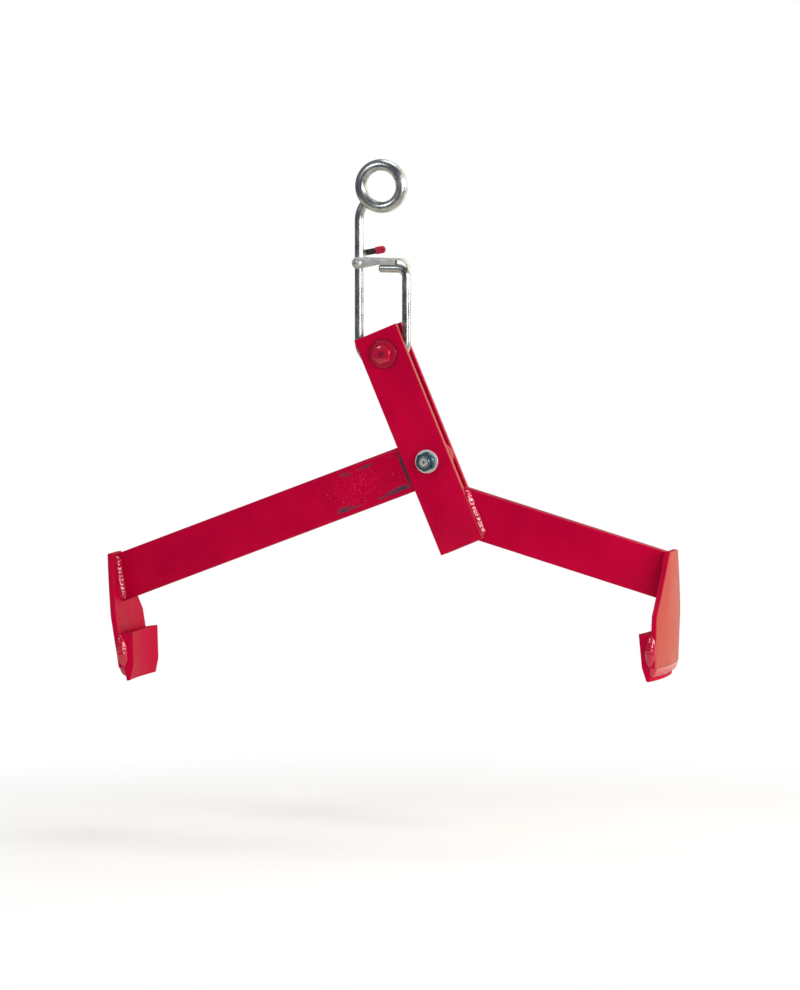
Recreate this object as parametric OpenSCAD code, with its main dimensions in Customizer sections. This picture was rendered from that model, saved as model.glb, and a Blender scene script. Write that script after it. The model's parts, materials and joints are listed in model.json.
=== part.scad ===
// Tong lifter for a steel drum, hung on its bent-bar hook, with both jaws at the drum's rim.
// X runs from jaw to jaw, Y through the bolts, Z up. The origin is the centre of the hook's eye.

/* [Flat bar] */
// Width of the bar that the lever and both arms are cut from
bar_w = 50.8; // [46:0.2:56]
// Thickness of each of the two lever plates
plate_t = 6.35; // [5:0.05:8]
// Thickness of the right arm, which also spaces the lever plates
arm_t = 12.7; // [12.4:0.1:15]
// Radius along the edges of the rolled bar
edge_r = 1.2; // [0.6:0.1:1.8]
// Room on each side of the left arm between the lever plates
side_play = 0.35; // [0.2:0.05:0.5]

/* [Lever] */
// Distance from the top bolt to the upper end of the lever
head_l = 25.4; // [22:0.2:30]
// Distance from the top bolt to the pivot bolt
bolt_span = 125; // [118:1:140]
// Distance from the pivot bolt to the lower end of the lever
tail_l = 99.6; // [94:0.2:106]
// Lean of the lever's top towards the left jaw, in degrees
lever_lean = 23; // [18:0.5:27]

/* [Arms] */
// Distance from the pivot bolt to the left jaw along the arm
left_reach = 375.5; // [350:0.5:400]
// Slope of the left arm below the horizontal, in degrees
left_droop = 21.2; // [17:0.1:25]
// Distance from the pivot bolt down the lever to the middle of the right arm
right_root = 52.7; // [51:0.1:58]
// Distance from the middle of the lever to the right jaw along the arm
right_reach = 254.5; // [235:0.5:280]
// Angle between the right arm and the lever, in degrees
right_angle = 51; // [48:0.5:55]
// Length of the right arm behind the middle of the lever
right_tail = 10; // [4:0.5:12]

/* [Jaws] */
// Angle that the left jaw is turned from square to its arm, in degrees
left_jaw_set = 12; // [9:0.5:15]
// Angle that the right jaw is turned from square to its arm, in degrees
right_jaw_set = 14; // [9:0.5:17]
// Inner radius that the jaw plates are rolled to
jaw_r = 300; // [280:1:330]
// Thickness of the jaw plates
jaw_t = 6.35; // [5:0.05:8]
// Height of the jaw plates
jaw_h = 123; // [114:1:128]
// Height of the jaw's upper edge above the middle of its arm
jaw_rise = 28; // [24:1:31]
// Width of the jaw's upper edge
jaw_top_w = 32; // [26:1:44]
// Width of the jaw below its flare
jaw_w = 98; // [84:1:110]
// Height of the flare
jaw_flare_h = 67; // [52:1:78]

/* [Lips] */
// Distance from the jaw's upper edge down to the ledge on the lip
ledge_drop = 87; // [83:1:92]
// Height of the lip
lip_h = 51; // [46:1:58]
// Thickness of the lip at its ledge
lip_t = 15; // [13:0.1:17]
// Taper of the lip's inner face, in degrees
lip_taper = 8; // [5:0.5:9]
// Height of the lead-in at the lip's foot
lead_h = 15; // [10:1:20]
// Thickness of the lip at its foot
lip_foot_t = 4; // [3:0.1:5]
// Width of the lip along the jaw
lip_w = 96; // [80:1:106]

/* [Bolts] */
// Diameter of both bolts
bolt_d = 12.7; // [11:0.1:14]
// Room around each bolt, on the radius
bolt_play = 0.09; // [0.05:0.01:0.1]
// Width across the flats of the heads and nuts
hex_af = 19; // [18:0.1:22]
// Height of the bolt heads
head_h = 8; // [6:0.1:10]
// Height of the nut on the top bolt
nut_h = 10.5; // [8:0.1:12]
// Height of the hexagon on the thin lock nut of the pivot bolt
lock_nut_h = 6.4; // [5:0.1:9]
// Height of the collar that holds the nylon ring
collar_h = 2.8; // [2.4:0.1:4]
// Width of the nylon ring, on the radius
ring_t = 2.1; // [1.4:0.1:2.2]
// Length of each bolt that stands past its nut
bolt_end = 1.6; // [1:0.1:5]
// Chamfer on the corners of the heads and nuts
hex_chamfer = 1.2; // [0.6:0.1:1.6]
// Thickness of the washers
washer_t = 2.5; // [1.5:0.1:3]
// Diameter of the pivot washers
pivot_washer_d = 25.4; // [24:0.2:30]
// Diameter of the top bolt's washers
top_washer_d = 30; // [26:0.2:34]
// Diameter of the sleeve that the hook bears on
sleeve_d = 16; // [15.5:0.1:16.6]

/* [Hook] */
// Diameter of the hook's round bar
rod_d = 9.6; // [9:0.1:10.4]
// Inner radius of the hook's bowl
bowl_r = 21.7; // [20:0.1:24]
// Gap between the bowl and the sleeve
bowl_gap = 0.3; // [0.2:0.05:0.5]
// Distance that the middle of the bowl hangs to the left of the top bolt
bowl_side = 4.3; // [0:0.1:6]
// Height of the nose above the top bolt
nose_rise = 92.4; // [86:0.2:100]
// Radius of the bend into the nose, at the middle of the bar
nose_bend = 9.5; // [8:0.1:12]
// Chamfer on the end of the nose
nose_chamfer = 2; // [1:0.1:3]
// Width of the hook's mouth between the nose and the shank
mouth_w = 17.7; // [17:0.1:20]
// Height of the eye's centre above the top bolt
eye_rise = 181; // [170:1:195]
// Inner radius of the eye
eye_r = 17.2; // [15:0.2:19]
// Length of the wall that is reamed inside the eye
eye_wall = 7; // [5:0.1:8]
// Diameter of the bar around the eye
eye_bar_d = 13; // [12:0.1:14]
// Angle of the neck between the shank and the eye, in degrees
neck_angle = 45; // [40:1:50]
// Radius of the neck's bend, at the middle of the bar
neck_bend = 30; // [26:0.5:36]
// Lean of the hook's top towards the left jaw, in degrees
hook_lean = 0; // [-2:0.1:4]

/* [Keeper] */
// Thickness of the keeper's sheet
sheet_t = 1.5; // [1.2:0.1:2]
// Room between the keeper's cheeks and the round bar
cheek_play = 0.4; // [0.3:0.05:0.6]
// Gap between the closed keeper's curl and the nose
rest_gap = 0.35; // [0.3:0.05:0.5]
// Height of the web's underside above the nose
web_gap = 4.6; // [4:0.1:5.2]
// Height of the web's underside above the rivet
web_lift = 3.8; // [3:0.1:4.4]
// Distance from the rivet to the start of the web
web_start = 12.5; // [12:0.1:16]
// Distance from the rivet to the narrow part of the cheeks
cheek_l = 24; // [20:0.5:27]
// Distance from the rivet to the end of the cheeks
cheek_end = 41; // [36:0.5:43]
// Depth of the cheeks at that end, with the web
cheek_end_h = 6.8; // [6.4:0.1:7.4]
// Inner radius of the curl at the end of the web
curl_r = 10; // [9:0.1:11]
// Radius of the cheeks around the rivet
cheek_r = 6.5; // [6:0.1:8]
// Diameter of the rivet
rivet_d = 5; // [4:0.1:5.6]
// Diameter of the rivet's heads
rivet_head_d = 9; // [8:0.1:10]
// Height of the rivet's heads
rivet_head_h = 2; // [1.5:0.1:2.6]
// Width of the ear that carries the thumb tab
ear_w = 11; // [9:0.2:12]
// Height of the thumb tab above the rivet
tab_rise = 9.5; // [9:0.5:12]
// Length of the thumb tab from the middle of the shank
tab_l = 27.5; // [26:0.5:31]
// Width of the thumb tab
tab_w = 6.4; // [5:0.1:7]
// Slope of the thumb tab above the web, in degrees
tab_slope = 11; // [6:1:16]
// Length of the soft cap on the tab
cap_l = 10; // [7:0.5:12]
// Wall of the soft cap
cap_t = 0.8; // [0.6:0.05:0.9]

/* [Welds] */
// Leg of the fillet welds
weld_leg = 6; // [4:0.2:6.2]
// Height of the weld under the jaw's foot
foot_weld_h = 10; // [6:0.5:12]
// Width of that weld along the jaw
foot_weld_w = 86; // [70:1:94]
// Radius of the bead over each end of the lip
end_bead_r = 6.3; // [5:0.1:7]
// Height of that bead above the edge of the jaw
end_bead_h = 3.2; // [2:0.1:4]
// Gap between seated parts before welding
seat_gap = 0.1; // [0.08:0.01:0.12]

/* [Hidden] */
$fn = 96;

paint = [0.69, 0.02, 0.2];
zinc = [0.66, 0.7, 0.74];
nylon = [0.1, 0.22, 0.28];
vinyl = [0.75, 0.06, 0.1];

// Length that a cutting or crossing shape stands past the piece that it cuts
over = 1;
left_arm_t = arm_t - 2 * side_play;
stack_y = arm_t / 2 + plate_t;
bolt_y = stack_y + washer_t;
bolt_hole_d = bolt_d + 2 * bolt_play;

leg_x = bowl_r + rod_d / 2;
bowl_z = bowl_r - sleeve_d / 2 - bowl_gap;
bowl_drop = bowl_z - sqrt(pow(bowl_z, 2) - pow(bowl_side, 2));
eye_mid_r = eye_r + sqrt(pow(eye_bar_d / 2, 2) - pow(eye_wall / 2, 2));
eye_x = neck_bend * (1 - cos(neck_angle)) + eye_mid_r * sin(neck_angle) - leg_x;
neck_z = eye_rise - neck_bend * sin(neck_angle) - eye_mid_r * cos(neck_angle);
nose_tip_x = rod_d / 2 - leg_x + mouth_w;
rivet_z = nose_rise + rod_d / 2 + web_gap - web_lift;
cheek_y = rod_d / 2 + cheek_play;

// The eye's centre is the origin, so the top bolt and the pivot bolt hang below it
eye_side = eye_x - bowl_side;
eye_up = eye_rise - bowl_drop;
top_x = eye_up * sin(hook_lean) - eye_side * cos(hook_lean);
top_z = -eye_up * cos(hook_lean) - eye_side * sin(hook_lean);
pivot_x = top_x + bolt_span * sin(lever_lean);
pivot_z = top_z - bolt_span * cos(lever_lean);

jaw_foot = jaw_rise - jaw_h;
ledge_z = jaw_rise - ledge_drop;
lip_foot = ledge_z - lip_h;
lip_mid_t = lip_t - (lip_h - lead_h) * tan(lip_taper);
lip_half = asin(lip_w / 2 / jaw_r);
foot_half = asin(foot_weld_w / 2 / jaw_r);

// Places and directions
module at_hook() {
    translate([top_x, 0, top_z]) rotate([0, -hook_lean, 0])
        translate([-bowl_side, 0, -bowl_drop]) children();
}

module at_rivet() {
    at_hook() translate([-leg_x, 0, rivet_z]) children();
}

module at_pivot() {
    translate([pivot_x, 0, pivot_z]) rotate([0, -lever_lean, 0]) children();
}

module at_top_bolt() {
    at_pivot() translate([0, 0, bolt_span]) children();
}

module along_left_arm() {
    translate([pivot_x, 0, pivot_z]) mirror([1, 0, 0]) rotate([0, left_droop, 0]) children();
}

module along_right_arm() {
    at_pivot() translate([0, 0, -right_root]) rotate([0, 90 - right_angle, 0]) children();
}

module at_jaw(reach, set) {
    translate([reach, 0, 0]) rotate([0, -set, 0]) children();
}

module at_left_jaw() {
    along_left_arm() at_jaw(left_reach, left_jaw_set) children();
}

module at_right_jaw() {
    along_right_arm() at_jaw(right_reach, right_jaw_set) children();
}

module to_front(y) {
    translate([0, -y, 0]) rotate([90, 0, 0]) children();
}

module to_rear(y) {
    translate([0, y, 0]) rotate([-90, 0, 0]) children();
}

module upright(t) {
    rotate([90, 0, 0]) linear_extrude(height = t, center = true) children();
}

// Flat bar
module bar_section(w, t) {
    square([t - 2 * edge_r, w], center = true);
    square([t, w - 2 * edge_r], center = true);
    for (x = [-1, 1], y = [-1, 1])
        translate([x * (t / 2 - edge_r), y * (w / 2 - edge_r)]) circle(edge_r);
}

module bar_along_x(from, to, t) {
    translate([from, 0, 0]) rotate([90, 0, 90]) linear_extrude(height = to - from) bar_section(bar_w, t);
}

module bolt_hole(len) {
    rotate([90, 0, 0]) cylinder(d = bolt_hole_d, h = len, center = true);
}

module lever_plate(side) {
    at_pivot() translate([0, side * (arm_t + plate_t) / 2, 0])
        difference() {
            rotate([0, 90, 0]) bar_along_x(-bolt_span - head_l, tail_l, plate_t);
            bolt_hole(plate_t + 2 * over);
            translate([0, 0, bolt_span]) bolt_hole(plate_t + 2 * over);
        }
}

module jaw_end_cut(reach, set) {
    at_jaw(reach, set) translate([-seat_gap, -bar_w, -bar_w]) cube(2 * bar_w);
}

// Jaws
module jaw_outline() {
    polygon([
        [-jaw_top_w / 2, jaw_rise], [jaw_top_w / 2, jaw_rise],
        [jaw_w / 2, jaw_rise - jaw_flare_h], [jaw_w / 2, jaw_foot],
        [-jaw_w / 2, jaw_foot], [-jaw_w / 2, jaw_rise - jaw_flare_h]
    ]);
}

module jaw_plate() {
    intersection() {
        translate([-jaw_r, 0, jaw_foot - over]) difference() {
            cylinder(r = jaw_r + jaw_t, h = jaw_h + 2 * over, $fn = 240);
            translate([0, 0, -over]) cylinder(r = jaw_r, h = jaw_h + 4 * over, $fn = 240);
        }
        rotate([90, 0, 90]) linear_extrude(height = jaw_w, center = true) jaw_outline();
    }
}

module sector(half) {
    translate([-jaw_r, 0, 0]) rotate([0, 0, -half])
        rotate_extrude(angle = 2 * half, $fn = 240) children();
}

module jaw_lip() {
    sector(lip_half) polygon([
        [jaw_r - seat_gap, ledge_z], [jaw_r - lip_t, ledge_z],
        [jaw_r - lip_mid_t, lip_foot + lead_h], [jaw_r - lip_foot_t, lip_foot],
        [jaw_r - seat_gap, lip_foot]
    ]);
}

// Welds: from each jaw to its arm, from the jaw's foot to the lip, and over the ends of the lip
module arm_fillets(t, set) {
    len = bar_w / cos(set) - 2 * edge_r;
    intersection() {
        for (side = [0, 1]) mirror([0, side, 0]) translate([0, t / 2, -len / 2])
            linear_extrude(height = len) polygon([[0, 0], [-weld_leg, 0], [0, weld_leg]]);
        translate([-jaw_r, 0, -len]) cylinder(r = jaw_r - seat_gap / 2, h = 2 * len, $fn = 240);
    }
}

module foot_fillet() {
    sector(foot_half) polygon([
        [jaw_r, jaw_foot], [jaw_r + weld_leg, jaw_foot], [jaw_r, jaw_foot - foot_weld_h]
    ]);
}

module lip_end_beads() {
    inner_x = sqrt(pow(jaw_r, 2) - pow(jaw_w / 2, 2)) - jaw_r;
    len = ledge_z - jaw_foot - 2 * seat_gap;
    for (side = [0, 1]) mirror([0, side, 0]) translate([0, 0, jaw_foot]) linear_extrude(height = len)
        difference() {
            translate([inner_x, jaw_w / 2 + end_bead_h - end_bead_r]) circle(end_bead_r);
            translate([inner_x - seat_gap / 2, 0]) square([jaw_w, jaw_w / 2 + seat_gap / 2]);
            translate([-jaw_r, 0]) rotate(lip_half) translate([0, -jaw_w])
                square([2 * jaw_r, jaw_w + seat_gap / 2]);
        }
}

module jaw_weld_beads(t, set) {
    arm_fillets(t, set);
    foot_fillet();
    lip_end_beads();
}

// Bolts and nuts, each standing on Z = 0
module hex_body(h) {
    corner_r = hex_af / 2 / cos(30);
    intersection() {
        cylinder(r = corner_r, h = h, $fn = 6);
        rotate_extrude() polygon([
            [0, 0], [corner_r, 0], [corner_r, h - hex_chamfer],
            [corner_r - hex_chamfer / tan(30), h], [0, h]
        ]);
    }
}

module bolt(shank_l) {
    hex_body(head_h);
    translate([0, 0, -shank_l]) cylinder(d = bolt_d, h = shank_l);
}

module washer(d) {
    difference() {
        cylinder(d = d, h = washer_t);
        translate([0, 0, -over]) cylinder(d = bolt_hole_d, h = washer_t + 2 * over);
    }
}

module nut(h) {
    difference() {
        hex_body(h);
        translate([0, 0, -over]) cylinder(d = bolt_hole_d, h = h + 2 * over);
    }
}

module ring(inner_r, outer_r, h) {
    difference() {
        cylinder(r = outer_r, h = h);
        translate([0, 0, -over]) cylinder(r = inner_r, h = h + 2 * over);
    }
}

// Lever
module lever_front_plate() { color(paint) lever_plate(-1); }

module lever_rear_plate() { color(paint) lever_plate(1); }

module right_arm() {
    color(paint) along_right_arm() difference() {
        bar_along_x(-right_tail, right_reach + bar_w / 2, arm_t);
        jaw_end_cut(right_reach, right_jaw_set);
    }
}

module right_jaw_plate() { color(paint) at_right_jaw() jaw_plate(); }

module right_jaw_lip() { color(paint) at_right_jaw() jaw_lip(); }

module right_jaw_weld_beads() { color(paint) at_right_jaw() jaw_weld_beads(arm_t, right_jaw_set); }

module lever_weld_beads() {
    color(paint) intersection() {
        at_pivot() for (side = [0, 1]) mirror([0, side, 0])
            translate([bar_w / 2, arm_t / 2, -tail_l]) linear_extrude(height = tail_l)
                polygon([[0, 0], [weld_leg, 0], [0, weld_leg]]);
        along_right_arm() translate([right_reach / 2, 0, 0])
            cube([right_reach, 4 * stack_y, bar_w - 2 * edge_r], center = true);
    }
}

// Pivot bolt, with its lock nut at the front
module pivot_bolt() {
    shank_l = 2 * bolt_y + lock_nut_h + collar_h + bolt_end;
    color(zinc) at_pivot() to_rear(bolt_y) bolt(shank_l);
}

module pivot_washers() {
    color(zinc) at_pivot() {
        to_front(stack_y) washer(pivot_washer_d);
        to_rear(stack_y) washer(pivot_washer_d);
    }
}

module pivot_nut() {
    ring_r = bolt_hole_d / 2 + ring_t;
    color(zinc) at_pivot() to_front(bolt_y) {
        nut(lock_nut_h);
        translate([0, 0, lock_nut_h]) ring(ring_r + seat_gap / 2, hex_af / 2 - hex_chamfer / 4, collar_h);
    }
}

module pivot_nut_insert() {
    color(nylon) at_pivot() to_front(bolt_y + lock_nut_h)
        ring(bolt_hole_d / 2, bolt_hole_d / 2 + ring_t, collar_h - seat_gap);
}

// Top bolt, with its head at the front
module top_bolt() {
    shank_l = 2 * bolt_y + nut_h + bolt_end;
    color(paint) at_top_bolt() to_front(bolt_y) bolt(shank_l);
}

module top_bolt_washers() {
    color(paint) at_top_bolt() {
        to_front(stack_y) washer(top_washer_d);
        to_rear(stack_y) washer(top_washer_d);
    }
}

module top_bolt_nut() { color(paint) at_top_bolt() to_rear(bolt_y) nut(nut_h); }

module top_bolt_sleeve() {
    color(zinc) at_top_bolt() to_front(-arm_t / 2) ring(bolt_hole_d / 2, sleeve_d / 2, arm_t);
}

// Left arm
module left_arm() {
    color(paint) along_left_arm() difference() {
        union() {
            bar_along_x(0, left_reach + bar_w / 2, left_arm_t);
            upright(left_arm_t) circle(d = bar_w);
        }
        jaw_end_cut(left_reach, left_jaw_set);
        bolt_hole(left_arm_t + 2 * over);
    }
}

module left_jaw_plate() { color(paint) at_left_jaw() jaw_plate(); }

module left_jaw_lip() { color(paint) at_left_jaw() jaw_lip(); }

module left_jaw_weld_beads() { color(paint) at_left_jaw() jaw_weld_beads(left_arm_t, left_jaw_set); }

// Hook
module rod(x, from, to) {
    translate([x, 0, from]) cylinder(d = rod_d, h = to - from);
}

module rod_bend(r, from, sweep) {
    rotate([90, 0, 0]) rotate([0, 0, from]) rotate_extrude(angle = sweep)
        translate([r, 0]) circle(d = rod_d);
}

module nose() {
    start_x = leg_x - nose_bend;
    end_x = nose_tip_x + nose_chamfer;
    translate([start_x, 0, nose_rise - nose_bend]) rod_bend(nose_bend, 0, 90);
    translate([end_x, 0, nose_rise]) rotate([0, 90, 0]) cylinder(d = rod_d, h = start_x - end_x);
    translate([end_x, 0, nose_rise]) rotate([0, -90, 0])
        cylinder(d1 = rod_d, d2 = rod_d - 2 * nose_chamfer, h = nose_chamfer);
}

module neck() {
    translate([neck_bend - leg_x, 0, neck_z]) mirror([1, 0, 0]) rod_bend(neck_bend, 0, neck_angle);
}

module eye() {
    rotate([90, 0, 0]) rotate_extrude() difference() {
        translate([eye_mid_r, 0]) circle(d = eye_bar_d);
        translate([0, -eye_bar_d]) square([eye_r, 2 * eye_bar_d]);
    }
}

module hook_body() {
    color(zinc) difference() {
        at_hook() {
            translate([0, 0, bowl_z]) rod_bend(leg_x, 180, 180);
            rod(-leg_x, bowl_z, neck_z);
            neck();
            rod(leg_x, bowl_z, nose_rise - nose_bend);
            nose();
            translate([eye_x, 0, eye_rise]) eye();
        }
        at_rivet() rotate([90, 0, 0]) cylinder(d = rivet_d + 2 * bolt_play, h = 2 * rod_d, center = true);
    }
}

// Keeper
module cheek_outline() {
    web_top = web_lift + sheet_t;
    circle(cheek_r);
    polygon([
        [0, cheek_r], [web_start, web_top], [cheek_end, web_top],
        [cheek_end, web_top - cheek_end_h], [cheek_l, web_top - cheek_end_h], [0, -cheek_r]
    ]);
}

module tab_outline(from, to, w) {
    translate([0, tab_rise]) rotate(tab_slope) {
        translate([from, -w / 2]) square([to - w / 2 - from, w]);
        translate([to - w / 2, 0]) circle(d = w);
    }
}

module thumb_ear() {
    translate([-ear_w / 2, 0]) square([ear_w, tab_rise]);
    translate([0, tab_rise]) circle(d = ear_w);
    tab_outline(0, tab_l, tab_w);
}

// The web ends in a quarter curl whose lower edge comes to rest on the bend of the nose
module web_outline() {
    bend_r = nose_bend + rod_d / 2;
    curl_z = web_lift - curl_r;
    drop = curl_z - (web_lift - web_gap - bend_r);
    curl_x = 2 * leg_x - nose_bend - curl_r + sqrt(pow(bend_r + rest_gap, 2) - pow(drop, 2));
    translate([web_start, web_lift]) square([curl_x - web_start, sheet_t]);
    translate([curl_x, curl_z]) intersection() {
        difference() {
            circle(curl_r + sheet_t);
            circle(curl_r);
        }
        square(2 * curl_r);
    }
}

module hook_keeper() {
    color(zinc) at_rivet() difference() {
        union() {
            for (side = [-1, 1]) translate([0, side * (cheek_y + sheet_t / 2), 0])
                upright(sheet_t) cheek_outline();
            upright(2 * cheek_y + over) web_outline();
            translate([0, cheek_y + sheet_t / 2, 0]) upright(sheet_t) thumb_ear();
        }
        rotate([90, 0, 0]) cylinder(d = rivet_d + 2 * bolt_play, h = 2 * rod_d, center = true);
    }
}

module keeper_rivet() {
    head_y = cheek_y + sheet_t + seat_gap;
    color(zinc) at_rivet() {
        rotate([90, 0, 0]) cylinder(d = rivet_d, h = 2 * head_y, center = true);
        for (side = [0, 1]) mirror([0, side, 0]) to_front(head_y) intersection() {
            cylinder(d = rivet_head_d, h = rivet_head_h);
            dome_r = (pow(rivet_head_d / 2, 2) + pow(rivet_head_h, 2)) / 2 / rivet_head_h;
            translate([0, 0, rivet_head_h - dome_r]) sphere(dome_r);
        }
    }
}

module keeper_thumb_cap() {
    play = seat_gap / 2;
    cap_from = tab_l - cap_l;
    color(vinyl) at_rivet() translate([0, cheek_y + sheet_t / 2, 0]) difference() {
        upright(sheet_t + 2 * cap_t) tab_outline(cap_from, tab_l + cap_t, tab_w + 2 * cap_t);
        upright(sheet_t + 2 * play) tab_outline(cap_from - over, tab_l + play, tab_w + 2 * play);
    }
}

lever_front_plate();
lever_rear_plate();
right_arm();
right_jaw_plate();
right_jaw_lip();
lever_weld_beads();
right_jaw_weld_beads();
pivot_bolt();
pivot_washers();
pivot_nut();
pivot_nut_insert();
top_bolt();
top_bolt_washers();
top_bolt_nut();
top_bolt_sleeve();
left_arm();
left_jaw_plate();
left_jaw_lip();
left_jaw_weld_beads();
hook_body();
hook_keeper();
keeper_rivet();
keeper_thumb_cap();
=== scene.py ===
import json
import math

import bmesh
import bpy
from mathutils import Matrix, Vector, noise


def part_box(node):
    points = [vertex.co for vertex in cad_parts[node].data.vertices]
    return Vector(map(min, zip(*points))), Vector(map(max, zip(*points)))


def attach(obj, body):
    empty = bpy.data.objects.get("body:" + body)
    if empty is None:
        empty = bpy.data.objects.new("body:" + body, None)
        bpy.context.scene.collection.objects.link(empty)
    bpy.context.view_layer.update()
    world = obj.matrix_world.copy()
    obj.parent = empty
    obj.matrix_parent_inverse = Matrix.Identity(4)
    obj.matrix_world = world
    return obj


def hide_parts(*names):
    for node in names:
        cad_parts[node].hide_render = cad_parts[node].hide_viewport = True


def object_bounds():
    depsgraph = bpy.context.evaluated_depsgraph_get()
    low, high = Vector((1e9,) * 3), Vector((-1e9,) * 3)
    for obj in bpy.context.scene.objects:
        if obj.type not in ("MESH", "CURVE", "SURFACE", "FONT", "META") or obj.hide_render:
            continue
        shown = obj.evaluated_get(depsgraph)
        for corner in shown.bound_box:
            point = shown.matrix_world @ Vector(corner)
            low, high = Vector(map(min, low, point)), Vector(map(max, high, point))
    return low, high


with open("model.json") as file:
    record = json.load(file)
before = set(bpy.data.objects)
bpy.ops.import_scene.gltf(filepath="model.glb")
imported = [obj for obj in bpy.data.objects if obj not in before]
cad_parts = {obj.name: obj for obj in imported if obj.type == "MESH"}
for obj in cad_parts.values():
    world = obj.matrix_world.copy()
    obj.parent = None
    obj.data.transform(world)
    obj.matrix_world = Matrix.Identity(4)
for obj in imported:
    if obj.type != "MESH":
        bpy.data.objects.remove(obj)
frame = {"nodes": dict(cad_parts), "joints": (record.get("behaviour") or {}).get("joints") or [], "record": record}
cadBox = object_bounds()
mm = 0.001
print("frame loaded:", len(frame["nodes"]), "nodes")


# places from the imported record, and a few sizes of the bars and jaws
jointPlace = {joint["name"]: Vector(joint["pos_m"]) for joint in frame["joints"]}
mountPlace = {mount["name"]: Vector(mount["pos_m"]) for mount in frame["record"]["mounts"]}
mountAxis = {mount["name"]: Vector(mount["axis"]) for mount in frame["record"]["mounts"]}
topBolt = jointPlace["lever_swing"]
pivotBolt = jointPlace["left_arm_pivot"]
across = Vector((0, 1, 0))            # along both bolts
leverUp = (topBolt - pivotBolt).normalized()
leverRight = across.cross(leverUp)
leverHalf = 25.4 * mm                 # half the width of the lever's bar

jawShape = {
    "radius": 300 * mm,               # rolled to this on the inside
    "ledgeIn": 7.55 * mm,             # middle of the ledge, in from the plate
    "ledgeDown": 59 * mm,             # ledge below the middle of the arm
    "footDown": 95 * mm,              # plate's foot below the middle of the arm
    "lipWidth": 96 * mm,
    "sheenFrom": 5.2 * mm,            # painted sheen on the outer face starts and is full this far out
    "sheenFull": 6.2 * mm,
}


def jawFrame(mountName, side):
    # origin on the plate's inner face at the middle of the arm, with its up and outward directions
    up = mountAxis[mountName].normalized()
    out = Vector((up.z, 0, -up.x)) * side
    origin = mountPlace[mountName] + out * jawShape["ledgeIn"] + up * jawShape["ledgeDown"]
    return {"origin": origin, "up": up, "out": out}


leftJaw = jawFrame("left_chime_ledge", -1)
rightJaw = jawFrame("right_chime_ledge", 1)
leftAlong = (pivotBolt - leftJaw["origin"]).normalized()
rightDrop = math.radians(16)          # the right arm falls away from the lever by this
rightAlong = Vector((math.cos(rightDrop), 0, -math.sin(rightDrop)))
upright = Vector((0.02, 0, 1))        # the lips' and seams' own direction, near enough
white = (1, 1, 1, 1)


# node helpers
def put(tree, kind, inputs=None, **settings):
    node = tree.nodes.new(kind)
    for key, value in settings.items():
        setattr(node, key, value)
    for key, value in (inputs or {}).items():
        if isinstance(value, bpy.types.NodeSocket):
            tree.links.new(value, node.inputs[key])
        else:
            node.inputs[key].default_value = value
    return node


def mixColour(tree, factor, first, second):
    node = put(tree, "ShaderNodeMix", {0: factor, 6: first, 7: second}, data_type="RGBA")
    return node.outputs[2]


def sums(tree, operation, first, second):
    return put(tree, "ShaderNodeMath", {0: first, 1: second}, operation=operation).outputs[0]


def vectorSums(tree, operation, first, second=(0, 0, 0)):
    node = put(tree, "ShaderNodeVectorMath", {0: first, 1: second}, operation=operation)
    return node.outputs["Value" if operation in ("LENGTH", "DOT_PRODUCT") else "Vector"]


def reachFrom(tree, where, centre, scale):
    # distance from a place, with each axis counted by its scale
    offset = vectorSums(tree, "SUBTRACT", where, centre)
    return vectorSums(tree, "LENGTH", vectorSums(tree, "MULTIPLY", offset, scale))


def ramp(tree, value, low, high, toLow=0.0, toHigh=1.0):
    inputs = {"Value": value, "From Min": low, "From Max": high, "To Min": toLow, "To Max": toHigh}
    return put(tree, "ShaderNodeMapRange", inputs, clamp=True).outputs[0]


def grains(tree, where, scale, detail=3.0, roughness=0.55):
    inputs = {"Vector": where, "Scale": scale, "Detail": detail, "Roughness": roughness}
    return put(tree, "ShaderNodeTexNoise", inputs).outputs[0]


def newFinish(name):
    finish = bpy.data.materials.new(name)
    finish.use_nodes = True
    tree = finish.node_tree
    shader = tree.nodes["Principled BSDF"]
    where = put(tree, "ShaderNodeTexCoord").outputs["Object"]
    return finish, tree, shader, where


def roughen(tree, shader, strength, distance, height):
    bump = put(tree, "ShaderNodeBump", {"Strength": strength, "Distance": distance, "Height": height})
    tree.links.new(bump.outputs[0], shader.inputs["Normal"])


def edgeMask(tree, radius):
    # how far the rounded normal turns away from the face's own, near an edge
    bevel = put(tree, "ShaderNodeBevel", {"Radius": radius}, samples=6)
    flat = put(tree, "ShaderNodeNewGeometry").outputs["Normal"]
    return ramp(tree, vectorSums(tree, "DOT_PRODUCT", bevel.outputs[0], flat), 0.98, 0.78)


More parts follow.
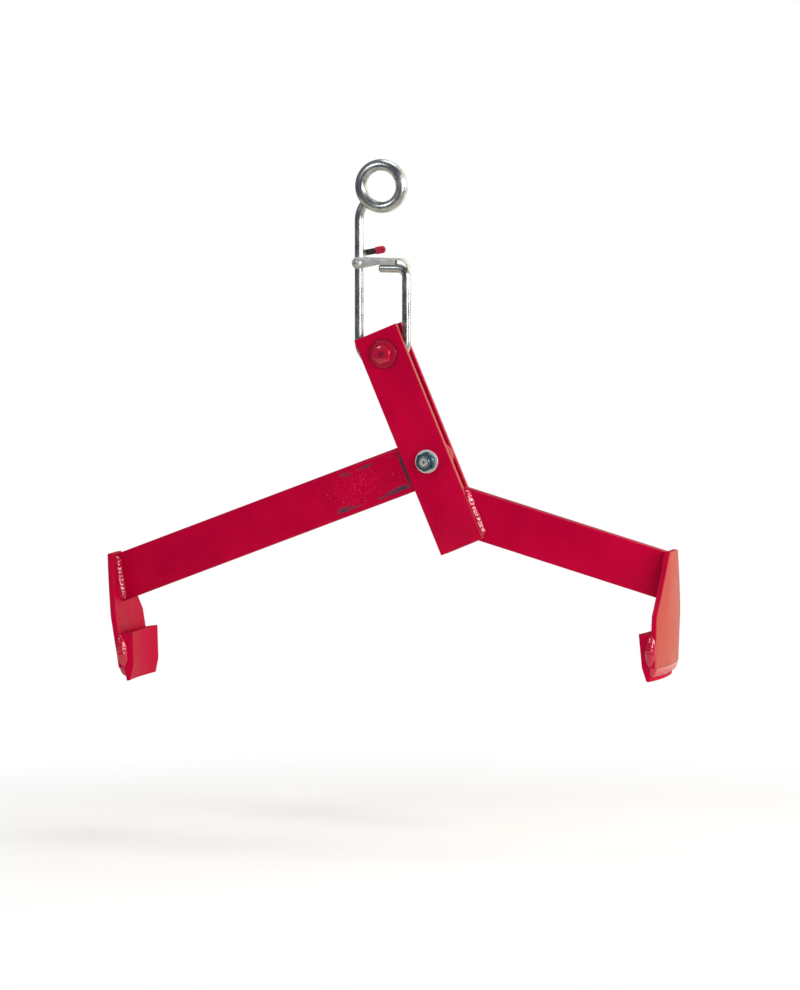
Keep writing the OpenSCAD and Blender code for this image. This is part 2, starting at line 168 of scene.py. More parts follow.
# red enamel, brushed over rolled bar
enamelLook = {
    "colour": (0.43, 0.0004, 0.030, 1),
    "deep": (0.37, 0.0003, 0.026, 1),
    "bright": (0.48, 0.001, 0.036, 1),
    # pale colour for wear, also used as a painted highlight along the edges
    "paleWearAndHighlight": (0.62, 0.16, 0.13, 1),
    # salmon colour that paints a sheen of side light on the jaws' outer faces and the lever's right side
    "paintedSheen": (0.40, 0.077, 0.056, 1),
    # bare steel in chips and scrapes, also used for a painted shadow line beside the lever
    "bareSteelAndShadow": (0.032, 0.038, 0.058, 1),
    # dark red of painted shade, round the top bolt's washer and in the middle of its head
    "paintedShade": (0.085, 0.004, 0.022, 1),
    "edgeBandWidth": 1.6 * mm,
    "clouds": 22,                     # sizes of the grain, as counts in a metre
    "chips": 120,
    "streaks": 260,
    # grain of the painted sheen
    "scrapes": 330,
    "sheenMottle": 420,
    "dust": 900,
    "relief": 0.25 * mm,
    "sideSheen": (0.7 * mm, 0.2 * mm),   # how far in from a bar's narrow side its painted sheen starts and is full
}
# the last figure of each coat sets how much of the edge wear, painted edge highlight and edge chips shows
coatLook = {
    "bar": {"smooth": 0.15, "rough": 0.24, "shine": 0.06, "uneven": 0.22, "edgeWearAndHighlight": 1.0},
    "lip": {"smooth": 0.45, "rough": 0.58, "shine": 0.03, "uneven": 0.22, "edgeWearAndHighlight": 1.0},
    "leftJaw": {"smooth": 0.40, "rough": 0.54, "shine": 0.03, "uneven": 0.22, "edgeWearAndHighlight": 1.0},
    "rightJaw": {"smooth": 0.28, "rough": 0.42, "shine": 0.05, "uneven": 0.22, "edgeWearAndHighlight": 1.0},
    "seam": {"smooth": 0.08, "rough": 0.15, "shine": 0.9, "uneven": 0.04, "edgeWearAndHighlight": 0.0},
    "bolt": {"smooth": 0.12, "rough": 0.20, "shine": 0.7, "uneven": 0.22, "edgeWearAndHighlight": 0.4},
}


def redEnamel(name, along, coatName="bar", scuffsAndShadow=(), specks=(), sheenMask=None, paintedShade=None):
    finish, tree, shader, where = newFinish(name)
    look = enamelLook
    coat = coatLook[coatName]
    tilt = math.atan2(along.z, along.x)
    turned = put(tree, "ShaderNodeMapping", {"Vector": where, "Rotation": (0, tilt, 0)}).outputs[0]
    streaked = put(tree, "ShaderNodeMapping", {"Vector": turned, "Scale": (0.12, 1, 1)}).outputs[0]
    cloudy = grains(tree, turned, look["clouds"], 4)
    streaks = grains(tree, streaked, look["streaks"], 3)
    colour = mixColour(tree, ramp(tree, cloudy, 0.32, 0.62), look["deep"], look["colour"])
    colour = mixColour(tree, ramp(tree, streaks, 0.55, 0.85, 0, 0.55), colour, look["bright"])
    # painted sheen, mottled by a fine grain
    if sheenMask:
        mottle = ramp(tree, grains(tree, turned, look["sheenMottle"], 4, 0.7), 0.3, 0.7, 0.72, 1.0)
        colour = mixColour(tree, sums(tree, "MULTIPLY", sheenMask(tree, where), mottle), colour, look["paintedSheen"])
    dust = grains(tree, turned, look["dust"], 2)
    chips = grains(tree, turned, look["chips"], 5, 0.7)
    # near the edges: a pale colour that is partly wear and partly a painted edge highlight, and bare steel where
    # the chips are deepest
    edge = sums(tree, "MULTIPLY", edgeMask(tree, look["edgeBandWidth"]), coat["edgeWearAndHighlight"])
    edgeWearAndHighlight = sums(tree, "MULTIPLY", edge, ramp(tree, chips, 0.40, 0.62))
    colour = mixColour(tree, sums(tree, "MULTIPLY", edgeWearAndHighlight, 0.55), colour, look["paleWearAndHighlight"])
    bareAndShadow = sums(tree, "MULTIPLY", edge, ramp(tree, chips, 0.64, 0.70))
    # painted shade
    if paintedShade:
        colour = mixColour(tree, paintedShade(tree, where), colour, look["paintedShade"])
    for speck in specks:
        pale = sums(tree, "MULTIPLY", patchMask(tree, turned, speck), 0.5)
        colour = mixColour(tree, pale, colour, look["paleWearAndHighlight"])
    # scrapes to bare steel, and a painted shadow beside the lever
    for patchSpec in scuffsAndShadow:
        bareAndShadow = sums(tree, "MAXIMUM", bareAndShadow, patchMask(tree, turned, patchSpec))
    colour = mixColour(tree, bareAndShadow, colour, look["bareSteelAndShadow"])
    tree.links.new(colour, shader.inputs["Base Color"])
    gloss = ramp(tree, cloudy, 0.3, 0.7, coat["smooth"], coat["rough"])
    gloss = sums(tree, "ADD", gloss, sums(tree, "MULTIPLY", bareAndShadow, 0.25))
    tree.links.new(gloss, shader.inputs["Roughness"])
    shader.inputs["Specular IOR Level"].default_value = coat["shine"]
    relief = sums(tree, "ADD", sums(tree, "MULTIPLY", streaks, 0.5), sums(tree, "MULTIPLY", dust, 0.25))
    relief = sums(tree, "SUBTRACT", relief, sums(tree, "MULTIPLY", bareAndShadow, 0.8))
    roughen(tree, shader, coat["uneven"], look["relief"], relief)
    return finish


def outerSheen(jaw, most):
    # painted sheen on the jaw's outer face, found by its distance from the axis that the plate is rolled around
    centre = jaw["origin"] - jaw["out"] * jawShape["radius"]
    start = jawShape["radius"] + jawShape["sheenFrom"]
    full = jawShape["radius"] + jawShape["sheenFull"]

    def mask(tree, where):
        offset = vectorSums(tree, "SUBTRACT", where, centre)
        away = vectorSums(tree, "LENGTH", vectorSums(tree, "CROSS_PRODUCT", offset, jaw["up"]))
        return ramp(tree, away, start, full, 0, most)

    return mask


def sideSheen(origin, out, reach, most):
    # painted sheen of light from the right on a bar's narrow side, found by its distance from the middle of the
    # bar
    start, full = [reach - depth for depth in enamelLook["sideSheen"]]

    def mask(tree, where):
        away = vectorSums(tree, "DOT_PRODUCT", vectorSums(tree, "SUBTRACT", where, origin), out)
        return ramp(tree, away, start, full, 0, most)

    return mask


def patchMask(tree, turned, patchSpec):
    # marks inside an oval patch, given along and across the bar: scrapes, pale specks, and a painted shadow line
    u, v = patchSpec["place"]
    halfLong, halfWide = patchSpec["half"]
    away = reachFrom(tree, turned, (u, 0, v), (1 / halfLong, 0, 1 / halfWide))
    patch = ramp(tree, away, 1.0, 0.45)
    thin = put(tree, "ShaderNodeMapping", {"Vector": turned, "Scale": patchSpec["grain"]}).outputs[0]
    marks = grains(tree, thin, enamelLook["scrapes"], 5, 0.66)
    marks = ramp(tree, marks, patchSpec["least"], patchSpec["least"] + 0.07)
    return sums(tree, "MULTIPLY", patch, marks)


# bright zinc on steel
zincGrain = {
    "clouds": 70,                     # sizes of the grain, as counts in a metre
    "spangle": 420,
    "scratches": 700,
    "edge": 0.8 * mm,
    "relief": 0.2 * mm,
    "uneven": 0.12,
}
zincLook = {
    "colour": (0.60, 0.64, 0.67, 1),
    "dull": (0.36, 0.39, 0.42, 1),
    "pale": (0.78, 0.80, 0.80, 1),
}
# zinc paler than the plain plate, a painted highlight for the keeper, the rivet and the bolt's end
paintedHighlightZincLook = {
    "colour": (0.77, 0.79, 0.80, 1),
    "dull": (0.58, 0.61, 0.63, 1),
    "pale": (0.90, 0.91, 0.91, 1),
    # dark colour of the painted shade below the thumb cap
    "darkening": (0.07, 0.065, 0.06, 1),
}
# zinc paler still, a painted highlight for the washers
paintedHighlightWasherLook = {
    "colour": (0.90, 0.92, 0.92, 1),
    "dull": (0.76, 0.79, 0.80, 1),
    "pale": (0.97, 0.98, 0.98, 1),
}
# blue zinc plate, darkened to paint the dark reflection that the nut shows
shadedBlueZincLook = {
    "colour": (0.04, 0.13, 0.18, 1),
    "dull": (0.018, 0.065, 0.095, 1),
    "pale": (0.20, 0.34, 0.40, 1),
}
bright = (0.22, 0.40)                 # least and most roughness
satin = (0.45, 0.58)
dull = (0.50, 0.62)


def zincPlate(name, look, sheen=bright, darkening=None):
    finish, tree, shader, where = newFinish(name)
    cloudy = grains(tree, where, zincGrain["clouds"], 4)
    spangle = put(tree, "ShaderNodeTexVoronoi", {"Vector": where, "Scale": zincGrain["spangle"]})
    tone = put(tree, "ShaderNodeSeparateColor", {0: spangle.outputs["Color"]}).outputs[0]
    colour = mixColour(tree, ramp(tree, cloudy, 0.35, 0.65), look["dull"], look["colour"])
    colour = mixColour(tree, ramp(tree, tone, 0.6, 1.0, 0, 0.35), colour, look["pale"])
    edge = edgeMask(tree, zincGrain["edge"])
    colour = mixColour(tree, sums(tree, "MULTIPLY", edge, 0.6), colour, look["pale"])
    # darkening: painted shade on the keeper, a darker thread on the bolt's end
    if darkening:
        colour = mixColour(tree, darkening(tree, where), colour, look["darkening"])
    tree.links.new(colour, shader.inputs["Base Color"])
    shader.inputs["Metallic"].default_value = 1.0
    tree.links.new(ramp(tree, cloudy, 0.3, 0.7, *sheen), shader.inputs["Roughness"])
    scratch = put(tree, "ShaderNodeMapping", {"Vector": where, "Scale": (1, 1, 0.2)}).outputs[0]
    relief = grains(tree, scratch, zincGrain["scratches"], 3)
    roughen(tree, shader, zincGrain["uneven"], zincGrain["relief"], relief)
    return finish


# darkening as distances from where there is none to where it is full: painted shade on the thumb tab and round the
# top bolt, and a darker thread and centre mark on the pivot bolt's end
darkeningLook = {
    "cap": (22 * mm, 17 * mm),
    "capFlat": (1, 1, 2.2),
    "thread": (4.4 * mm, 4.9 * mm),
    "centreMark": (1.5 * mm, 1.1 * mm),
    "headSpot": (5.2 * mm, 1.8 * mm),
    "headDark": 0.7,
    "rimInside": (1.8 * mm, 0.6 * mm),   # in from the washer's rim, and out from it
    "rimOutside": (1.6 * mm, 0.6 * mm),
    "rimDark": 0.5,
}
aroundBolt = (1, 0, 1)


def capShade(tree, where):
    # painted shade on the thumb tab, below its cap
    low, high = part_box("keeper_thumb_cap")
    return ramp(tree, reachFrom(tree, where, (low + high) / 2, darkeningLook["capFlat"]), *darkeningLook["cap"])


def threadDarkening(tree, where):
    # dark in the thread and in the centre mark of the bolt's end
    away = reachFrom(tree, where, pivotBolt, aroundBolt)
    thread = ramp(tree, away, *darkeningLook["thread"])
    return sums(tree, "MAXIMUM", thread, ramp(tree, away, *darkeningLook["centreMark"]))


def boltShade(tree, where):
    # painted shade round the rim of the top bolt's washer and in the middle of its head
    low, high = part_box("top_bolt_washers")
    rim = (high.x - low.x) / 2
    away = reachFrom(tree, where, topBolt, aroundBolt)
    inside = ramp(tree, away, *[rim - reach for reach in darkeningLook["rimInside"]])
    outside = ramp(tree, away, *[rim + reach for reach in darkeningLook["rimOutside"]])
    ring = sums(tree, "MULTIPLY", sums(tree, "MULTIPLY", inside, outside), darkeningLook["rimDark"])
    return sums(tree, "MAXIMUM", ring, ramp(tree, away, *darkeningLook["headSpot"], 0, darkeningLook["headDark"]))


plasticGrain = {"clouds": 260, "relief": 0.1 * mm, "uneven": 0.1}
nylonLook = {"colour": (0.012, 0.07, 0.10, 1), "deep": (0.006, 0.03, 0.045, 1), "smooth": 0.35, "rough": 0.49}
vinylLook = {"colour": (0.52, 0.012, 0.045, 1), "deep": (0.34, 0.006, 0.03, 1), "smooth": 0.23, "rough": 0.37}


def plainPlastic(name, look):
    finish, tree, shader, where = newFinish(name)
    cloudy = grains(tree, where, plasticGrain["clouds"], 3)
    tree.links.new(mixColour(tree, cloudy, look["deep"], look["colour"]), shader.inputs["Base Color"])
    tree.links.new(ramp(tree, cloudy, 0.3, 0.7, look["smooth"], look["rough"]), shader.inputs["Roughness"])
    roughen(tree, shader, plasticGrain["uneven"], plasticGrain["relief"], cloudy)
    return finish


leftUp = leftAlong.cross(across)
alongGrain = (0.14, 1, 1)
acrossGrain = (1, 1, 0.2)


def armPatch(back, up, halfLong, halfWide, least, grain=alongGrain):
    # a patch on the left arm, measured in mm back from the pivot and up from the middle of the bar
    place = (pivotBolt.dot(leftAlong) - back * mm, pivotBolt.dot(leftUp) + up * mm)
    return {"place": place, "half": (halfLong * mm, halfWide * mm), "least": least, "grain": grain}


armScuffsAndShadow = [
    armPatch(43, -17.5, 19, 4.0, 0.44),
    armPatch(59, -18.5, 13, 3.2, 0.46),
    armPatch(66, 18.5, 44, 2.2, 0.49),
    armPatch(92, 18.5, 10, 3.2, 0.45),
    armPatch(104, -17.5, 22, 4.4, 0.52),
    # painted shadow of the lever plate's edge on the arm, partly a rub mark
    armPatch(29, 1, 2.4, 25, 0.38, acrossGrain),
]
armSpecks = [armPatch(84, -1, 62, 24, 0.60, (1.0, 1, 1.4))]
# painted sheen of light from the right on the front plate's narrow right side
leverSheen = sideSheen(pivotBolt, leverRight, leverHalf, 1.0)
# the front plate also gets painted shade round the top bolt's washer
leverPaint = redEnamel("leverEnamel", leverUp, sheenMask=leverSheen, paintedShade=boltShade)
rearPaint = redEnamel("rearLeverEnamel", leverUp)
leftPaint = redEnamel("leftArmEnamel", leftAlong, scuffsAndShadow=armScuffsAndShadow, specks=armSpecks)
rightPaint = redEnamel("rightArmEnamel", rightAlong)
lipPaint = redEnamel("lipEnamel", upright, "lip")
# painted sheen on the jaws' outer faces, full on the right jaw and half on the left
leftJawPaint = redEnamel("leftJawEnamel", leftJaw["up"], "leftJaw", sheenMask=outerSheen(leftJaw, 0.5))
rightJawPaint = redEnamel("rightJawEnamel", rightJaw["up"], "rightJaw", sheenMask=outerSheen(rightJaw, 1.0))
seamPaint = redEnamel("seamEnamel", upright, "seam")
boltPaint = redEnamel("boltEnamel", leverUp, "bolt", paintedShade=boltShade)
zinc = zincPlate("zincPlate", zincLook)
satinZinc = zincPlate("satinZinc", paintedHighlightZincLook, satin)
washerZinc = zincPlate("washerZinc", paintedHighlightWasherLook, dull)
keeperZinc = zincPlate("keeperZinc", paintedHighlightZincLook, satin, capShade)
endZinc = zincPlate("endZinc", {**paintedHighlightZincLook, "darkening": shadedBlueZincLook["colour"]}, satin, threadDarkening)
nutZinc = zincPlate("blueZinc", shadedBlueZincLook)
tealNylon = plainPlastic("tealNylon", nylonLook)
redVinyl = plainPlastic("redVinyl", vinylLook)
print("finishes made")


# softened edges and smooth shading for the solids, as modifiers only
softLook = {
    "smoothUnder": math.radians(32),
    "roundOver": math.radians(35),
    "flatUnder": math.radians(0.3),   # faces that lie flatter than this are joined first
    "join": 0.004 * mm,
    "segments": 3,
}


def smoothingGroup(limit):
    group = bpy.data.node_groups.new("smoothByAngle", "GeometryNodeTree")
    group.interface.new_socket("Geometry", in_out="INPUT", socket_type="NodeSocketGeometry")
    group.interface.new_socket("Geometry", in_out="OUTPUT", socket_type="NodeSocketGeometry")
    start = put(group, "NodeGroupInput")
    plain = put(group, "GeometryNodeRemoveAttribute", {"Geometry": start.outputs[0], "Name": "custom_normal"})
    faces = put(group, "GeometryNodeSetShadeSmooth", {"Geometry": plain.outputs[0], "Shade Smooth": True})
    angle = put(group, "GeometryNodeInputMeshEdgeAngle").outputs[0]
    sharp = put(
        group, "FunctionNodeCompare",
        {0: angle, 1: limit}, data_type="FLOAT", operation="GREATER_THAN",
    )
    edges = put(
        group, "GeometryNodeSetShadeSmooth",
        {"Geometry": faces.outputs[0], "Selection": sharp.outputs[0], "Shade Smooth": False}, domain="EDGE",
    )
    put(group, "NodeGroupOutput", {0: edges.outputs[0]})
    return group


smoothing = smoothingGroup(softLook["smoothUnder"])


def soften(piece, rounding):
    if rounding:
        weld = piece.modifiers.new("weld", "WELD")
        weld.merge_threshold = softLook["join"]
        flat = piece.modifiers.new("flat", "DECIMATE")
        flat.decimate_type = "DISSOLVE"
        flat.angle_limit = softLook["flatUnder"]
        bevel = piece.modifiers.new("round", "BEVEL")
        bevel.width = rounding
        bevel.segments = softLook["segments"]
        bevel.limit_method = "ANGLE"
        bevel.angle_limit = softLook["roundOver"]
        bevel.use_clamp_overlap = False
    smooth = piece.modifiers.new("smooth", "NODES")
    smooth.node_group = smoothing


nodeLook = {
    "lever_front_plate": (leverPaint, 0.6 * mm),
    "lever_rear_plate": (rearPaint, 0.6 * mm),
    "right_arm": (rightPaint, 0.6 * mm),
    "left_arm": (leftPaint, 0.6 * mm),
    "right_jaw_plate": (rightJawPaint, 0.9 * mm),
    "left_jaw_plate": (leftJawPaint, 0.9 * mm),
    "right_jaw_lip": (lipPaint, 0.9 * mm),
    "left_jaw_lip": (lipPaint, 0.9 * mm),
    "pivot_bolt": (zinc, 0.3 * mm),
    "pivot_washers": (washerZinc, 0.3 * mm),
    "pivot_nut": (nutZinc, 0.3 * mm),
    "pivot_nut_insert": (tealNylon, 0.25 * mm),
    "top_bolt": (boltPaint, 0.3 * mm),
    "top_bolt_washers": (boltPaint, 0.4 * mm),
    "top_bolt_nut": (boltPaint, 0.3 * mm),
    "top_bolt_sleeve": (zinc, 0.3 * mm),
    "hook_body": (zinc, 0),
    "hook_keeper": (keeperZinc, 0.25 * mm),
    "keeper_rivet": (satinZinc, 0),
    "keeper_thumb_cap": (redVinyl, 0.3 * mm),
}
for nodeName, (finish, rounding) in nodeLook.items():
    solid = frame["nodes"][nodeName]
    solid.data.materials.clear()
    solid.data.materials.append(finish)
    soften(solid, rounding)
print("solids dressed:", len(nodeLook))


# pieces of this script's own, as rings of points joined into a skin
def skinRings(bm, rings):
    count = len(rings[0])
    for first, second in zip(rings, rings[1:]):
        for step in range(count):
            following = (step + 1) % count
            bm.faces.new((first[step], first[following], second[following], second[step]))
    bm.faces.new(rings[0])
    bm.faces.new(rings[-1])


def finishPiece(name, bm, finish, body, replaced=None):
    bmesh.ops.recalc_face_normals(bm, faces=bm.faces)
    mesh = bpy.data.meshes.new(name)
    bm.to_mesh(mesh)
    bm.free()
    mesh.materials.append(finish)
    piece = bpy.data.objects.new(name, mesh)
    bpy.context.scene.collection.objects.link(piece)
    soften(piece, 0)
    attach(piece, body)
    if replaced:
        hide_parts(replaced)


# weld seams with a row of ripples
seamLook = {
    "step": 0.3 * mm,
    "pitch": 4.3 * mm,
    "lead": 2.0 * mm,                 # how far each ripple's middle runs ahead of its sides
    "drift": 0.35,                    # how far the ripples stray from even spacing, and over what length
    "driftOver": 5 * mm,
    "waver": 0.05,                    # how far the bead's thickness strays, and over what length
    "waverOver": 7 * mm,
    "flatter": 0.04,                  # less swollen than a round, between the two legs
    "across": 14,
    "sink": 0.25 * mm,                # the seam's root lies this far inside the steel
}


def addSeam(bm, path, length, bead, seed):
    # path(u) gives the root, the direction of one leg and the direction square to it, for u from 0 to 1
    look = seamLook
    inCorner = bead["fan"] < math.pi
    rows = max(8, round(length / look["step"]))
    rings = []
    for row in range(rows + 1):
        u = row / rows
        run = u * length
        root, side, rise = path(u)
        nearEnd = min(run, length - run) / bead["ends"]
        taper = math.sqrt(max(0.05, 1 - max(0, 1 - nearEnd) ** 2))
        inward = side + rise if inCorner else rise
        ring = [bm.verts.new(root - inward * look["sink"])]
        drift = look["drift"] * noise.noise(Vector((run / look["driftOver"], seed, 3)))
        for step in range(look["across"] + 1):
            angle = bead["fan"] * step / look["across"]
            bulge = math.sin(math.pi * step / look["across"])
            phase = (run + look["lead"] * bulge) / look["pitch"] + drift
            ripple = 0.5 * math.sin(2 * math.pi * phase)
            wave = noise.noise(Vector((run / look["waverOver"], step / 5, seed)))
            swell = taper * (1 + bead["depth"] * bulge * ripple + look["waver"] * wave)
            if inCorner:
                swell *= 1 - look["flatter"] * math.sin(2 * angle)
            reach = side * math.cos(angle) * bead["leg"] + rise * math.sin(angle) * bead["height"]
            ring.append(bm.verts.new(root + reach * swell))
        rings.append(ring)
    skinRings(bm, rings)


def seamPiece(name, body, replaced, seams):
    bm = bmesh.new()
    for number, seam in enumerate(seams):
        addSeam(bm, *seam, seed=11.3 * number + len(name))
    finishPiece(name, bm, seamPaint, body, replaced)


def straight(start, end, side, rise):
    return lambda u: (start.lerp(end, u), side, rise)


# fan is the angle that a bead fills, depth its ripples as a share of the leg,
# and ends the length over which it narrows
quarterTurn = math.pi / 2
halfTurn = math.pi
armSeam = {
    "leg": 6.2 * mm, "height": 6.2 * mm, "fan": quarterTurn, "depth": 0.025, "ends": 6.2 * mm,
    "length": 49 * mm,
}
footSeam = {
    "leg": 6.2 * mm, "height": 10.2 * mm, "fan": quarterTurn, "depth": 0.06, "ends": 6.2 * mm,
    "spread": math.radians(9.3),      # to each side, round the axis that the plate is rolled around
}
lipEndSeam = {
    "leg": 6.2 * mm, "height": 5.4 * mm, "fan": halfTurn, "depth": 0.03, "ends": 17 * mm,
    "fromLedge": 0.5 * mm, "fromFoot": 1 * mm,
}
leverSeam = {
    "leg": 6.0 * mm, "height": 6.0 * mm, "fan": quarterTurn, "depth": 0.025, "ends": 6.0 * mm,
    "shorter": 1.5 * mm,              # than the plain bead, at each end
}
armThickness = {"left": 12.0 * mm, "right": 12.7 * mm}


def jawSeams(jaw, armThick):
    origin, up, out = jaw["origin"], jaw["up"], jaw["out"]
    radius, spread = jawShape["radius"], footSeam["spread"]
    centre = origin - out * radius
    seams = []
    for face in (-1, 1):
        foot = origin + across * face * armThick / 2 - up * armSeam["length"] / 2
        path = straight(foot, foot + up * armSeam["length"], -out, across * face)
        seams.append((path, armSeam["length"], armSeam))

    def underFoot(u):
        angle = spread * (2 * u - 1)
        outward = out * math.cos(angle) + across * math.sin(angle)
        return centre + outward * radius - up * jawShape["footDown"], outward, -up

    seams.append((underFoot, 2 * spread * radius, footSeam))
    for face in (-1, 1):
        angle = math.asin(jawShape["lipWidth"] / 2 / radius) * face
        outward = out * math.cos(angle) + across * math.sin(angle)
        sideways = (across * math.cos(angle) - out * math.sin(angle)) * face
        ledge = centre + outward * radius - up * (jawShape["ledgeDown"] + lipEndSeam["fromLedge"])
        foot = centre + outward * radius - up * (jawShape["footDown"] - lipEndSeam["fromFoot"])
        path = straight(ledge, foot, outward, sideways)
        seams.append((path, (ledge - foot).length, lipEndSeam))
    return seams


def leverSeams():
    # up both edges of the lever, from the lower to the upper side of the right arm
    low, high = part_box("lever_weld_beads")
    seams = []
    for face in (-1, 1):
        edge = pivotBolt + leverRight * leverHalf + across * face * armThickness["right"] / 2
        start = edge + leverUp * ((low.z - edge.z + leverSeam["shorter"]) / leverUp.z)
        end = edge + leverUp * ((high.z - edge.z - leverSeam["shorter"]) / leverUp.z)
        path = straight(start, end, leverRight, across * face)
        seams.append((path, (end - start).length, leverSeam))
    return seams


seamPiece("leftJawSeams", "left_tong", "left_jaw_weld_beads", jawSeams(leftJaw, armThickness["left"]))
seamPiece("rightJawSeams", "lever", "right_jaw_weld_beads", jawSeams(rightJaw, armThickness["right"]))
seamPiece("leverSeams", "lever", "lever_weld_beads", leverSeams())
print("weld seams laid")


# threads on the bolt ends that stand past their nuts
threadLook = {
    "radius": 6.36 * mm,
    "proud": 0.06 * mm,               # the crests stand out from the plain bolt by this
    "stand": 1.6 * mm,
    "over": 0.12 * mm,                # the thread goes past the plain bolt's end by this
    "pitch": 0.9 * mm,
    "depth": 0.42 * mm,
    "chamfer": 0.5 * mm,
    # rings of the end's dome, as shares of the radius, and how far each stands past the plain bolt
    "dome": ((0.688, 0.18 * mm), (0.387, 0.25 * mm), (0.1032, 0.28 * mm)),
    "around": 72,
    "rows": 20,
}


def threadEnd(name, base, outward, finish):
    look = threadLook
    sideA = outward.orthogonal().normalized()
    sideB = outward.cross(sideA)
    angles = [2 * math.pi * step / look["around"] for step in range(look["around"])]
    spokes = [sideA * math.cos(angle) + sideB * math.sin(angle) for angle in angles]
    bm = bmesh.new()
    rings = []
    for row in range(look["rows"] + 1):
        rise = (look["stand"] + look["over"]) * row / look["rows"]
        ring = []
        for step, spoke in enumerate(spokes):
            phase = (rise / look["pitch"] - step / look["around"]) % 1
            groove = look["depth"] * (1 - abs(2 * phase - 1)) ** 0.8
            chamfered = look["radius"] + look["stand"] - rise - look["chamfer"]
            radius = min(look["radius"] + look["proud"] - groove, chamfered)
            ring.append(bm.verts.new(base + outward * rise + spoke * radius))
        rings.append(ring)
    for share, lift in look["dome"]:
        middle = base + outward * (look["stand"] + lift)
        rings.append([bm.verts.new(middle + spoke * look["radius"] * share) for spoke in spokes])
    skinRings(bm, rings)
    finishPiece(name, bm, finish, "lever")


pivotEnd = Vector((pivotBolt.x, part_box("pivot_bolt")[0].y + threadLook["stand"], pivotBolt.z))
topEnd = Vector((topBolt.x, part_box("top_bolt")[1].y - threadLook["stand"], topBolt.z))
threadEnd("pivotBoltThread", pivotEnd, -across, endZinc)
threadEnd("topBoltThread", topEnd, across, boltPaint)
print("threads cut")


# floor, light and camera
skyLook = {
    "diffuse": 0.5,
    "dark": 0.1,
    "bright": 1.35,
    "warm": (1, 0.91, 0.72, 1),
    "behind": (-0.5, 0.5),            # where reflections from behind and from the right grow bright
    "toRight": (-0.22, 0.2),
    "leftShare": 0.06,
}
floorLook = {
    "colours": ((0.93, 0.93, 0.925, 1), (0.96, 0.96, 0.955, 1)),
    "below": 0.17,                    # room for the jaws to swing down
    "radius": 1.5,
    "around": 96,
    "whiteFrom": 0.25,
    "whiteAt": 0.85,
    "nearLevel": 0.75,                # brightness in reflections, at the middle and from rearAt on
    "rearLevel": 1.3,
    "rearAt": 0.5,
}


def paleFloor(height):
    look = floorLook
    mesh = bpy.data.meshes.new("floor")
    rim = [2 * math.pi * step / look["around"] for step in range(look["around"])]
    corners = [(look["radius"] * math.cos(a), look["radius"] * math.sin(a), 0) for a in rim]
    mesh.from_pydata(corners, [], [list(range(look["around"]))])
    floor = bpy.data.objects.new("floor", mesh)
    floor.location.z = height
    bpy.context.scene.collection.objects.link(floor)
    finish, tree, shader, where = newFinish("paleFloor")
    cloudy = grains(tree, where, 3, 2)
    tree.links.new(mixColour(tree, cloudy, *look["colours"]), shader.inputs["Base Color"])
    shader.inputs["Roughness"].default_value = 0.85
    shader.inputs["Specular IOR Level"].default_value = 0.1
    # white further out, so that the rim doesn't show, with a brightness of its own in reflections
    away = vectorSums(tree, "LENGTH", where)
    rays = put(tree, "ShaderNodeLightPath").outputs
    fade = sums(tree, "MULTIPLY", ramp(tree, away, look["whiteFrom"], look["whiteAt"]), rays["Is Camera Ray"])
    shown = sums(tree, "MAXIMUM", fade, rays["Is Glossy Ray"])
    depth = put(tree, "ShaderNodeSeparateXYZ", {0: where}).outputs["Y"]
    mirrored = ramp(tree, depth, 0.0, look["rearAt"], look["nearLevel"], look["rearLevel"])
    level = put(tree, "ShaderNodeMix", {0: rays["Is Glossy Ray"], 2: 1.0, 3: mirrored}).outputs[0]
    tint = mixColour(tree, rays["Is Glossy Ray"], white, skyLook["warm"])
    glow = put(tree, "ShaderNodeEmission", {"Color": tint, "Strength": level})
    both = put(tree, "ShaderNodeMixShader", {0: shown, 1: shader.outputs[0], 2: glow.outputs[0]})
    tree.links.new(both.outputs[0], tree.nodes["Material Output"].inputs["Surface"])
    mesh.materials.append(finish)


paleFloor(cadBox[0][2] - floorLook["below"])


def studioSky():
    # reflections come mostly from behind and from the right
    world = bpy.data.worlds.new("studioSky")
    bpy.context.scene.world = world
    world.use_nodes = True
    tree = world.node_tree
    back = tree.nodes["Background"]
    way = put(tree, "ShaderNodeTexCoord").outputs["Generated"]
    part = put(tree, "ShaderNodeSeparateXYZ", {0: way}).outputs
    behind = ramp(tree, part["Y"], *skyLook["behind"])
    toRight = ramp(tree, part["X"], *skyLook["toRight"], skyLook["leftShare"], 1.0)
    share = sums(tree, "MULTIPLY", behind, toRight)
    shown = ramp(tree, share, 0, 1, skyLook["dark"], skyLook["bright"])
    rays = put(tree, "ShaderNodeLightPath").outputs
    glossy = put(tree, "ShaderNodeMix", {0: rays["Is Glossy Ray"], 2: skyLook["diffuse"], 3: shown})
    seen = put(tree, "ShaderNodeMix", {0: rays["Is Camera Ray"], 2: glossy.outputs[0], 3: 1.0})
    tree.links.new(seen.outputs[0], back.inputs["Strength"])
    warmth = sums(tree, "MULTIPLY", share, rays["Is Glossy Ray"])
    tree.links.new(mixColour(tree, warmth, white, skyLook["warm"]), back.inputs["Color"])


studioSky()

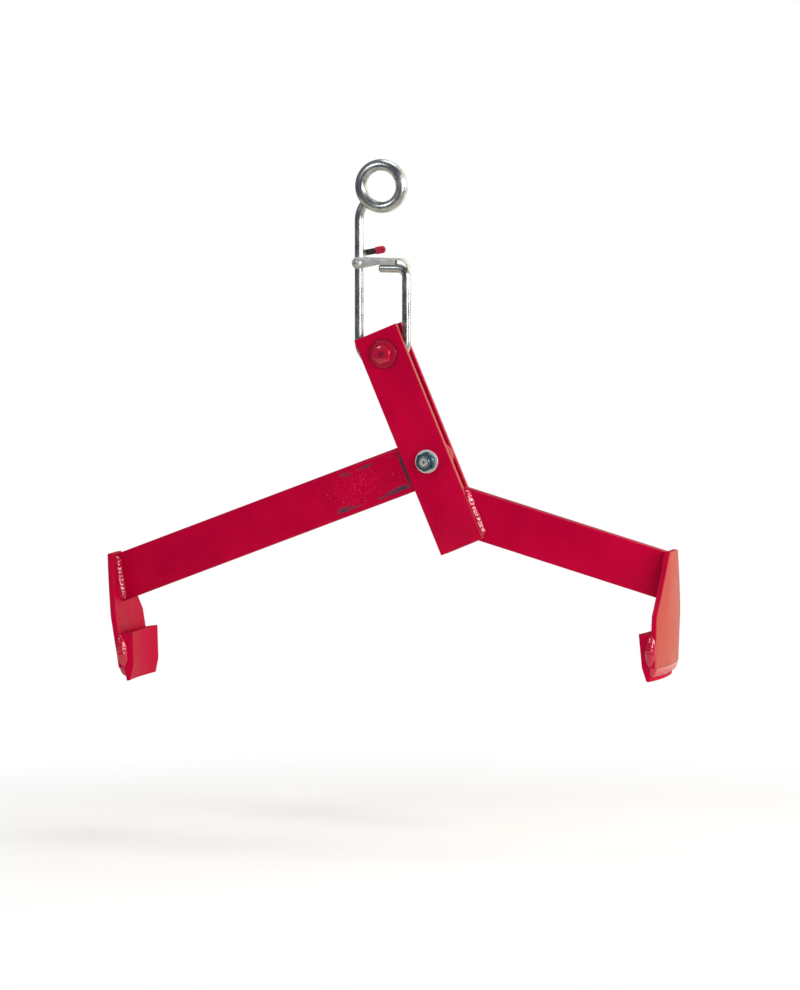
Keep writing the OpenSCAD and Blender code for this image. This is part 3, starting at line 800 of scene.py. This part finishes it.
lampLook = {
    "key": {"place": (-1.3, -2.4, 1.3), "wide": 1.1, "tall": 1.1, "power": 19, "colour": (1, 1, 1)},
    "fill": {"place": (2.2, -0.95, 0.5), "wide": 0.5, "tall": 0.7, "power": 16, "colour": (1, 1, 1)},
    "low": {"place": (1.5, -1.75, 0.0), "wide": 1.0, "tall": 0.9, "power": 15, "colour": (1, 1, 1)},
    "side": {"place": (2.3, 0.25, 0.2), "wide": 0.9, "tall": 0.9, "power": 22, "colour": (1, 0.84, 0.62)},
    "top": {"place": (0.3, 0.5, 2.2), "wide": 1.6, "tall": 1.6, "power": 18, "colour": (1, 1, 1)},
}
middle = (cadBox[0] + cadBox[1]) / 2
for lampName, look in lampLook.items():
    data = bpy.data.lights.new(lampName, "AREA")
    data.shape = "ELLIPSE"
    data.size = look["wide"]
    data.size_y = look["tall"]
    data.energy = look["power"]
    data.color = look["colour"]
    lamp = bpy.data.objects.new(lampName, data)
    lamp.location = look["place"]
    lamp.rotation_euler = (middle - lamp.location).to_track_quat("-Z", "Y").to_euler()
    bpy.context.scene.collection.objects.link(lamp)

viewLook = {
    "turn": 16,                       # degrees round to the right of the front
    "lift": 5,                        # degrees above level
    "distance": 12.0,
    "sensor": 36,
    "aim": (20.9 * mm, 0, -333.6 * mm),
    "tall": 1.069,                    # height of the picture at the aim, in metres
}


def placeCamera():
    data = bpy.data.cameras.new("camera")
    data.sensor_width = viewLook["sensor"]
    data.lens = viewLook["sensor"] * viewLook["distance"] / viewLook["tall"]
    data.clip_end = 200
    camera = bpy.data.objects.new("camera", data)
    turn = math.radians(viewLook["turn"])
    lift = math.radians(viewLook["lift"])
    aim = Vector(viewLook["aim"])
    away = Vector((math.sin(turn) * math.cos(lift), -math.cos(turn) * math.cos(lift), math.sin(lift)))
    camera.location = aim + away * viewLook["distance"]
    camera.rotation_euler = (-away).to_track_quat("-Z", "Y").to_euler()
    bpy.context.scene.collection.objects.link(camera)
    bpy.context.scene.camera = camera


placeCamera()
bpy.context.scene.view_settings.view_transform = "Standard"
print("floor, lamps and camera placed")

bpy.context.view_layer.update()
